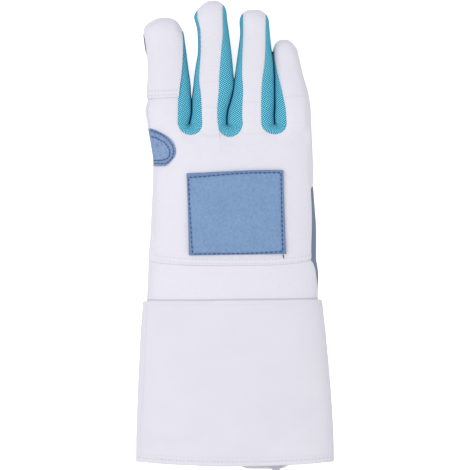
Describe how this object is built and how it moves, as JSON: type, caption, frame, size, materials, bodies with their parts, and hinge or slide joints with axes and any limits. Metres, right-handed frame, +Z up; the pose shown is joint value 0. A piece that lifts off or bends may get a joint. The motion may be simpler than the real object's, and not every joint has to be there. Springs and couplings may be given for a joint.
{
  "type": "fencing glove",
  "caption": "Right-hand glove with a long flared cuff, ribbed strips between the fingers, a sewn pad on the back and a thumb folded under the palm.",
  "frame": {"origin": "middle of the glove's box, on the surface that it lies on", "axes": "+Y towards the fingertips, +X towards the little finger, +Z up out of the back of the hand"},
  "size_m": [0.1522, 0.3628, 0.0445],
  "materials": {
    "white_cloth": "soft white synthetic leather cloth",
    "cuff_cloth": "matt white cloth",
    "blue_pad": "matt periwinkle blue",
    "palm_leather": "matt slate blue",
    "ribbed_knit": "turquoise ribbed knit"
  },
  "bodies": {
    "root": {"back_panel": "white_cloth", "palm_panel": "palm_leather", "fourchette_index_middle": "ribbed_knit", "fourchette_middle_ring": "ribbed_knit", "fourchette_ring_little": "ribbed_knit", "index_cap": "white_cloth", "back_pad": "blue_pad", "web_patch": "blue_pad", "wrist_band": "white_cloth", "cuff": "cuff_cloth", "cuff_tab": "cuff_cloth", "thumb_back": "white_cloth", "thumb_front": "palm_leather"}
  },
  "joints": []
}
